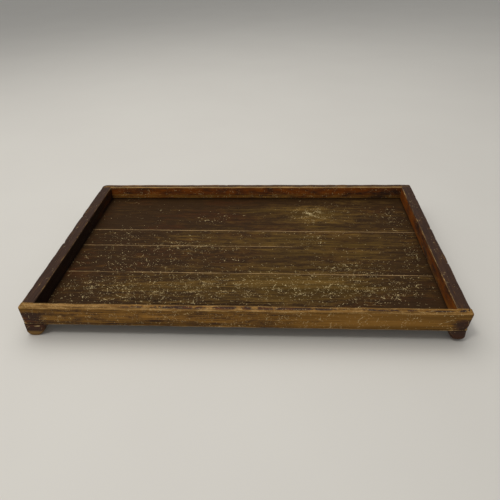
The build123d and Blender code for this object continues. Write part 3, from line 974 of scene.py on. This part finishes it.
def across_places(near, far):
    """Y of the top points at each station: close together at both edges and round the cracks."""
    shares = np.linspace(0, 1, int((far - near).mean() / ACROSS_PITCH))
    inside_near, inside_far = near + EDGE_STRIP, far - EDGE_STRIP
    dense = (np.array([crack[0] for crack in CRACKS])[:, None] + ROUND_A_CRACK).ravel()
    dense = dense[(dense > near.max()) & (dense < far.min())]
    dense_shares = (dense - inside_near.mean()) / (inside_far - inside_near).mean()
    shares = np.sort(np.concatenate([shares, dense_shares]))
    middle = inside_near + (inside_far - inside_near) * shares
    return np.concatenate([near + EDGE_OFFSETS, middle, far - EDGE_OFFSETS[::-1]], axis=1)


def plank_top(x, y, near, far, seed):
    """Height of a plank's top: the hollow, ripples, dents, cracks and worn edges added up."""
    share = (y - near) / (far - near)
    height = FLOOR - HOLLOW * 4 * share * (1 - share)
    for number, (depth, along, across) in enumerate(PLANK_RIPPLES):
        height = height + depth * unevenness(x / along, y / across, seed + number)
    draw = np.random.default_rng(seed + 2)
    for _ in range(DENTS):
        dent_x, dent_y = draw.uniform(-WELL_X, WELL_X), draw.uniform(near.min(), far.max())
        size, depth = draw.uniform(*DENT_SIZES) * MM, draw.uniform(*DENT_DEPTHS) * MM
        height = height - depth * np.exp(-((x - dent_x) ** 2 + (y - dent_y) ** 2) / size**2)
    edge_wear = EDGE_WEAR * (1 + 0.7 * unevenness(x / (12 * MM), share * 2, seed + 3))
    height = height - edge_wear * np.exp(-np.minimum(y - near, far - y) / EDGE_WEAR_REACH)
    return height - CRACK_DEPTH * cracks_at(x, y)


def make_plank(number, seed):
    """One plank between two of the seam lines, with its wear."""
    node = PLANKS[number]
    x = np.linspace(-BED_X, BED_X, STATIONS)[:, None]
    end_share = (x + BED_X) / (2 * BED_X)
    near, far = (left + (right - left) * end_share for left, right in EDGES[number : number + 2])
    grooved, tongued = number > 0, number < len(SEAMS)
    near, far = near + grooved * SEAM_GAP / 2, far - tongued * SEAM_GAP / 2
    top_y = across_places(near, far)
    under, middle = BASE + UNDER_LIFT, (BASE + FLOOR) / 2
    inner_y = (near + (far - near) * np.linspace(0, 1, UNDER_POINTS))[:, 1:-1]
    under_y = np.concatenate([near, near + UNDER_EASE, inner_y, far - UNDER_EASE, far], axis=1)
    under_z = np.full(UNDER_POINTS + 2, under)
    under_z[[0, -1]] += UNDER_EASE
    loop_y, loop_z = [top_y], [plank_top(x, top_y, near, far, seed)]
    if tongued:
        loop_y += [far, far + TONGUE, far + TONGUE, far]
        loop_z += [middle + TONGUE_HALF] * 2 + [middle - TONGUE_HALF] * 2
    loop_y, loop_z = loop_y + [under_y[:, ::-1]], loop_z + [under_z]
    if grooved:
        groove_end = near + TONGUE + TONGUE_CLEARANCE
        groove_half = TONGUE_HALF + TONGUE_CLEARANCE
        loop_y += [near, groove_end, groove_end, near]
        loop_z += [middle - groove_half] * 2 + [middle + groove_half] * 2
    ones = np.ones((STATIONS, 1))
    y, z = (np.concatenate([part * ones for part in loop], axis=1) for loop in (loop_y, loop_z))
    points = np.stack([x + 0 * y, y, z], axis=-1)
    piece = closed_piece("worn_" + node, (points, plank_facts(x, y, z, near, far, number)))
    as_piece_of_tray(piece, node, PLANK_LACQUER)


for plank_number in range(len(PLANKS)):
    make_plank(plank_number, seed=100 + 10 * plank_number)

# %% [markdown]
# ## The feet
#
# Each foot is a small block with two upright outer faces and two that slope in towards a rounded toe. A
# level cut through it is a rounded square, and a superellipse is one formula for that:
# |x / h| ** n + |y / h| ** n = 1. Going down, the square's inner side slopes in at the flank's angle, its
# outer side follows the arc of the toe, and the exponent n falls, so the block gets rounder.

# %% The feet
# Width at the top, width of the toe, how far they stand out to the side and to the face, radii of the toe
# to the side, to the face and inwards, in mm, then squareness at the ground and at the top, and how far the
# toe is rubbed
FOOT_SHAPES = {
    "front_left_foot": (30.0, 20.0, 1.2, 1.8, 8.0, 1.8, 8.0, 3.6, 9.0, 0.85),
    "front_right_foot": (25.6, 15.5, 0.9, 0.8, 8.0, 10.0, 9.0, 2.3, 4.4, 0.3),
    "back_left_foot": (27.5, 15.5, 0.9, 0.9, 7.0, 6.0, 6.0, 3.2, 5.5, 0.4),
    "back_right_foot": (27.0, 16.0, 0.9, 0.9, 8.0, 7.5, 7.0, 2.8, 5.0, 0.35),
}
FOOT_LEVELS, FOOT_AROUND = 34, 72
# Powers that crowd the levels near the ground and that make the toe square again on its way up
CROWDED, SQUARE_AGAIN = 1.8, 0.7
FOOT_LUMPS = 0.35 * MM
# Shares of the foot's height between which the rub on the toe, its bare rim and the painted shade at the top,
# under the rail, come and go
TOE_RUB, TOE_RIM, TOP_PAINTED_SHADE = (0.25, 0.65), (0.0, 0.12), (0.85, 1.0)


def toe_arc(height, radius):
    """How far a toe rounded to this radius falls back at each height: an arc that ends upright."""
    below = np.minimum(height, radius)
    return radius - np.sqrt(radius**2 - (radius - below) ** 2)


def inner_flank(height, foot_height, width, toe, radius):
    """Reach of the sloping inner side from the outer face, with an arc at the ground."""
    run_in = width - toe
    slope_angle = math.atan2(foot_height, run_in)
    flat = radius * math.tan(slope_angle / 2)
    arc_end = flat * math.sin(slope_angle)
    below = np.minimum(height, arc_end)
    on_arc = toe - flat + np.sqrt(radius**2 - (radius - below) ** 2)
    return np.where(height < arc_end, on_arc, toe + run_in * height / foot_height)


def make_foot(node, seed):
    """One foot, worked out from the tray's outer corner inwards."""
    low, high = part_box(node)
    *sizes, ground_square, top_square, toe_wear = FOOT_SHAPES[node]
    width, toe, proud_x, proud_y, side_radius, face_radius, inner_radius = np.array(sizes) * MM
    height = (high.z * np.linspace(0, 1, FOOT_LEVELS) ** CROWDED)[:, None]
    inner = inner_flank(height, high.z, width, toe, inner_radius)
    share = height / high.z
    exponent = ground_square + (top_square - ground_square) * share**SQUARE_AGAIN
    angle = np.linspace(0, FULL_TURN, FOOT_AROUND, endpoint=False)
    lumps = FOOT_LUMPS * unevenness(angle * 2.2, height / (5 * MM), seed) * step(share, 0.0, 0.15)
    rings = []
    for wave, radius, proud, nearest, farthest in (
        (np.cos(angle), side_radius, proud_x, low.x, high.x),
        (np.sin(angle), face_radius, proud_y, low.y, high.y),
    ):
        outer = toe_arc(height, radius)
        ring = (inner + outer) / 2 + (inner - outer) / 2 * np.sign(wave) * np.abs(wave) ** (2 / exponent)
        outwards = 1 if nearest > 0 else -1
        corner = (farthest if outwards > 0 else nearest) + outwards * proud
        rings.append(corner - outwards * (ring - lumps * wave))
    points = np.stack([*rings, height + 0 * rings[0]], axis=-1)
    facts = facts_at(
        angle * width / 2, height, 11 + seed / 10,
        rubbed=toe_wear * (1 - step(share, *TOE_RUB)),
        arris=0.25 * (1 - step(share, *TOE_RIM)),
        chips=0.25,
        # Painted shade at the top of the foot, where the rail overhangs it
        dirt=0.5 * step(share, *TOP_PAINTED_SHADE),
        red=0.5,
    )
    as_piece_of_tray(closed_piece("worn_" + node, (points, facts)), node, FOOT_LACQUER)


for foot_number, foot_node in enumerate(FOOT_SHAPES):
    make_foot(foot_node, seed=201 + 10 * foot_number)

# %% [markdown]
# ## What holds the tray together
#
# The battens, the nails and the dowels keep the exact shapes of the frame, so they only need finishes. The
# battens were never lacquered: bare wood, brown with age and handling. The nails are hand-forged iron with a
# little rust, and the dowels are bamboo. These pieces carry no stored facts, so their patterns read the
# object's own coordinates.

# %% Finishes of the battens, nails and dowels
QUARTER_TURN = math.pi / 2
RUST_CUT = (0.48, 0.62)
CLEAN_IRON, RUST = (0.035, 0.03, 0.028, 1), (0.11, 0.042, 0.017, 1)


def own_coordinates(steps):
    """The object's own coordinates."""
    return steps.add("TexCoord", output=3)


def aged_wood(name, along, dark_colour, light_colour):
    """Bare wood with its grain turned to run along one axis of the tray."""
    material, steps, shader = new_material(name)
    grain = steps.add("Mapping", {"Vector": own_coordinates(steps), "Rotation": along})
    streaks, bands = place_group(steps, WOOD_FIBRE, {"Vector": grain})
    blots = steps.noise(grain, (20 * MM, 8 * MM, 8 * MM))
    share = steps.sum(steps.product(streaks, 0.6), steps.product(bands, 0.5))
    mixed = steps.mix(steps.smooth(share, 0.25, 0.85), dark_colour, light_colour)
    aged = steps.tint(mixed, steps.weighted(0.6, (blots, 0.8)))
    coat(steps, shader, aged, steps.weighted(0.6, (streaks, 0.25)), streaks, 0.25 * MM, 0.8)
    return material


def forged_iron(name):
    """Dark iron, blotched with rust and hammered a little uneven."""
    material, steps, shader = new_material(name)
    place_in_piece = own_coordinates(steps)
    blots = steps.noise(place_in_piece, (1.1 * MM, 1.1 * MM, 1.1 * MM), detail=4.0)
    dimples = steps.noise(place_in_piece, (0.6 * MM, 0.6 * MM, 0.6 * MM))
    rust = steps.smooth(blots, *RUST_CUT)
    blotched = steps.mix(rust, CLEAN_IRON, RUST)
    coat(steps, shader, blotched, steps.weighted(0.5, (rust, 0.35)), dimples, 0.12 * MM, 0.7)
    steps.feed(steps.product(steps.rest(rust), 0.75), shader.inputs["Metallic"])
    return material


BATTEN_WOOD = aged_wood("batten wood", (0, 0, QUARTER_TURN), (0.075, 0.043, 0.02, 1), (0.17, 0.105, 0.052, 1))
BAMBOO = aged_wood("bamboo", (0, QUARTER_TURN, 0), (0.3, 0.21, 0.1, 1), (0.45, 0.33, 0.17, 1))
IRON = forged_iron("forged iron")
PLAIN_FINISHES = {
    "left_batten": BATTEN_WOOD,
    "right_batten": BATTEN_WOOD,
    "plank_nails": IRON,
    "batten_nails": IRON,
    "foot_dowels": BAMBOO,
}
for plain_node, plain_finish in PLAIN_FINISHES.items():
    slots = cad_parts[plain_node].data.materials
    slots.clear()
    slots.append(plain_finish)
print("battens, nails and dowels finished")

# %% [markdown]
# ## The table, the light and the camera
#
# The tray stands on a plain pale floor. One soft lamp from above on the left gives the light its direction:
# it reaches the right side of the well and leaves the left side dark. A broad ceiling panel lights the top
# of everything and softens the shadows, a low panel at the front keeps the front rail readable, and a pale
# sky fills the rest. The camera looks down on the tray from the front, a little right of its middle, and
# leans by two degrees.

# %% Floor
FLOOR_REACH = 6.0
MOTTLE_SIZE = (0.3, 0.3, 0.3)
floor_mesh = bpy.data.meshes.new("pale_floor")
corners = [(FLOOR_REACH * x, FLOOR_REACH * y, 0) for x, y in ((-1, -1), (1, -1), (1, 1), (-1, 1))]
floor_mesh.from_pydata(corners, [], [(0, 1, 2, 3)])
floor = bpy.data.objects.new("pale_floor", floor_mesh)
bpy.context.scene.collection.objects.link(floor)
floor_material, floor_steps, floor_shader = new_material("pale floor")
mottle = floor_steps.noise(own_coordinates(floor_steps), MOTTLE_SIZE)
floor_colour = floor_steps.mix(mottle, (0.60, 0.58, 0.54, 1), (0.645, 0.63, 0.585, 1))
floor_steps.feed(floor_colour, floor_shader.inputs["Base Color"])
floor_shader.inputs["Roughness"].default_value = 0.55
floor_mesh.materials.append(floor_material)

# %% Light
WARM, PALE = (1.0, 0.975, 0.94), (1.0, 0.985, 0.96)
SKY, SKY_STRENGTH = (0.78, 0.775, 0.765, 1), 0.49


def soft_lamp(name, place, aim, size, power, colour):
    light = bpy.data.lights.new(name, "AREA")
    light.shape = "RECTANGLE"
    light.size, light.size_y = size
    light.energy = power
    light.color = colour
    lamp = bpy.data.objects.new(name, light)
    lamp.location = place
    lamp.rotation_euler = (Vector(aim) - Vector(place)).to_track_quat("-Z", "Y").to_euler()
    bpy.context.scene.collection.objects.link(lamp)


soft_lamp("lamp above the front", (-0.45, -0.75, 1.75), (0, 0, 0), (0.35, 0.35), 7.8, WARM)
soft_lamp("ceiling panel", (-0.4, 0.6, 1.7), (0, 0.1, 0), (2.2, 1.7), 21, WARM)
soft_lamp("low panel in front", (0, -1.9, 0.3), (0, 0, 0.02), (2.2, 0.5), 3.5, PALE)
world = bpy.data.worlds.new("pale room")
bpy.context.scene.world = world
world.use_nodes = True
sky = world.node_tree.nodes["Background"].inputs
sky["Color"].default_value = SKY
sky["Strength"].default_value = SKY_STRENGTH
bpy.context.scene.view_settings.view_transform = "Standard"

# %% Camera
CAMERA_PLACE = Vector((0.0519, -0.6490, 0.4366))
CAMERA_AIM = Vector((0.0030, -0.0067, 0.0232))
CAMERA_LEAN = math.radians(-1.963)
camera_data = bpy.data.cameras.new("camera")
camera_data.sensor_width = 36
camera_data.lens = 35.757
camera_data.clip_start = 0.01
camera = bpy.data.objects.new("camera", camera_data)
camera.location = CAMERA_PLACE
camera.rotation_mode = "QUATERNION"
looking = (CAMERA_AIM - CAMERA_PLACE).to_track_quat("-Z", "Y")
camera.rotation_quaternion = looking @ Quaternion((0, 0, 1), CAMERA_LEAN)
bpy.context.scene.collection.objects.link(camera)
bpy.context.scene.camera = camera
